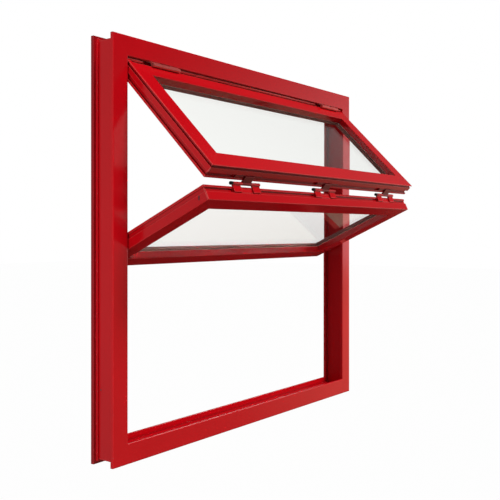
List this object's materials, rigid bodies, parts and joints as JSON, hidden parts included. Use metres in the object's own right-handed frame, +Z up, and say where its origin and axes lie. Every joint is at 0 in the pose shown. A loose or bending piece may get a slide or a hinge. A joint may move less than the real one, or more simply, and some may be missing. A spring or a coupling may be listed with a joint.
{
  "type": "concession window",
  "caption": "Metal-framed concession window clamped into a wall cut-out, its glazed upper and lower sashes folded outwards over an open serving hatch.",
  "frame": {"origin": "middle of the sill's outer flange, on its back face, which lies against the outside of the wall", "axes": "+X along the window, to the right seen from outside; +Y into the building; +Z up"},
  "size_m": [1.056, 0.3475, 0.954],
  "materials": {
    "powder_coat": "semi-gloss red powder coat",
    "glazing": "clear float glass",
    "gasket_rubber": "matt black extruded gasket",
    "pin_steel": "black oxide steel",
    "roller_nylon": "black nylon"
  },
  "bodies": {
    "root": {"clamp_ring_head": "powder_coat", "clamp_ring_left": "powder_coat", "clamp_ring_right": "powder_coat", "clamp_ring_sill": "powder_coat", "fold_hinge_left_lower_bracket": "powder_coat", "fold_hinge_left_pin": "pin_steel", "fold_hinge_left_upper_bracket": "powder_coat", "fold_hinge_middle_lower_bracket": "powder_coat", "fold_hinge_middle_pin": "pin_steel", "fold_hinge_middle_upper_bracket": "powder_coat", "fold_hinge_right_lower_bracket": "powder_coat", "fold_hinge_right_pin": "pin_steel", "fold_hinge_right_upper_bracket": "powder_coat", "frame_head": "powder_coat", "frame_jamb_left": "powder_coat", "frame_jamb_right": "powder_coat", "frame_sill": "powder_coat", "guide_axle_left": "pin_steel", "guide_axle_right": "pin_steel", "guide_roller_left": "roller_nylon", "guide_roller_right": "roller_nylon", "head_hinge_left_frame_leaf": "powder_coat", "head_hinge_left_pin": "powder_coat", "head_hinge_left_sash_leaf": "powder_coat", "head_hinge_right_frame_leaf": "powder_coat", "head_hinge_right_pin": "powder_coat", "head_hinge_right_sash_leaf": "powder_coat", "lower_sash_bead": "powder_coat", "lower_sash_bottom_rail": "powder_coat", "lower_sash_gasket": "gasket_rubber", "lower_sash_glass": "glazing", "lower_sash_stile_left": "powder_coat", "lower_sash_stile_right": "powder_coat", "lower_sash_top_rail": "powder_coat", "upper_sash_bead": "powder_coat", "upper_sash_bottom_rail": "powder_coat", "upper_sash_gasket": "gasket_rubber", "upper_sash_glass": "glazing", "upper_sash_stile_left": "powder_coat", "upper_sash_stile_right": "powder_coat", "upper_sash_top_rail": "powder_coat"}
  },
  "joints": []
}
